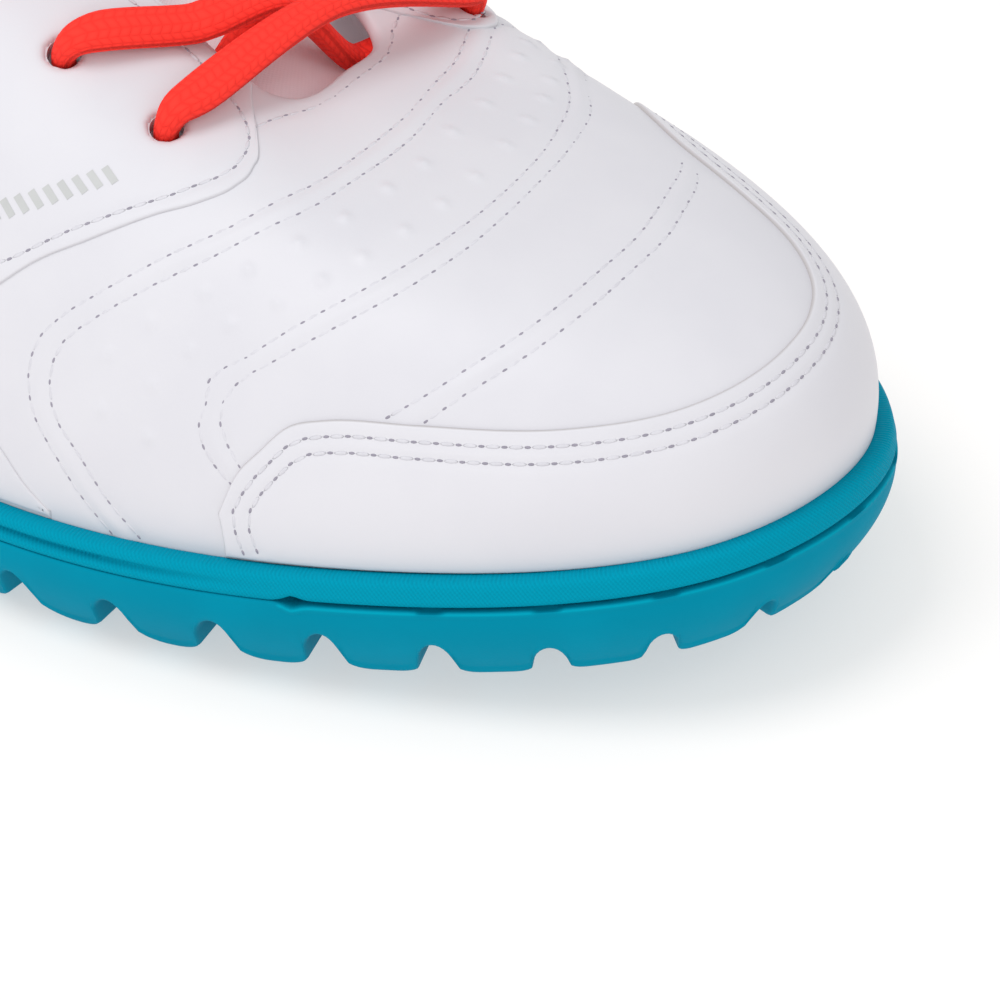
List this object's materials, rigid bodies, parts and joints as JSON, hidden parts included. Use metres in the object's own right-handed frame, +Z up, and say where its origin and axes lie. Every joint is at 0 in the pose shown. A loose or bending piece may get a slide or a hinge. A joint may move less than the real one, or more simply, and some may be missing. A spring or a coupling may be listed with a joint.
{
  "type": "turf football shoe, right foot",
  "caption": "Low turf football shoe for the right foot: white upper with stitched overlays, coral lace and a teal lugged rubber sole.",
  "frame": {"origin": "on the floor under the middle of the shoe's box, where the lowest lugs stand at z = 0", "axes": "+X to the toe, +Y to the inner (medial) side, +Z up; the outer (lateral) side of this right shoe is -Y"},
  "size_m": [0.29, 0.0998, 0.115],
  "materials": {
    "outsole_rubber": "matt moulded rubber",
    "midsole_foam": "matt with a fine diagonal rib",
    "insole_fabric": "matt woven",
    "white_leather": "satin, fine grain",
    "tongue_fabric": "matt padded",
    "lace_fabric": "matt braid"
  },
  "bodies": {
    "root": {"outsole": "outsole_rubber", "midsole": "midsole_foam", "insole": "insole_fabric", "upper": "white_leather", "toe_guard": "white_leather", "quarter_lateral": "white_leather", "quarter_medial": "white_leather", "heel_counter": "white_leather", "tongue": "tongue_fabric", "lace": "lace_fabric"}
  },
  "joints": []
}
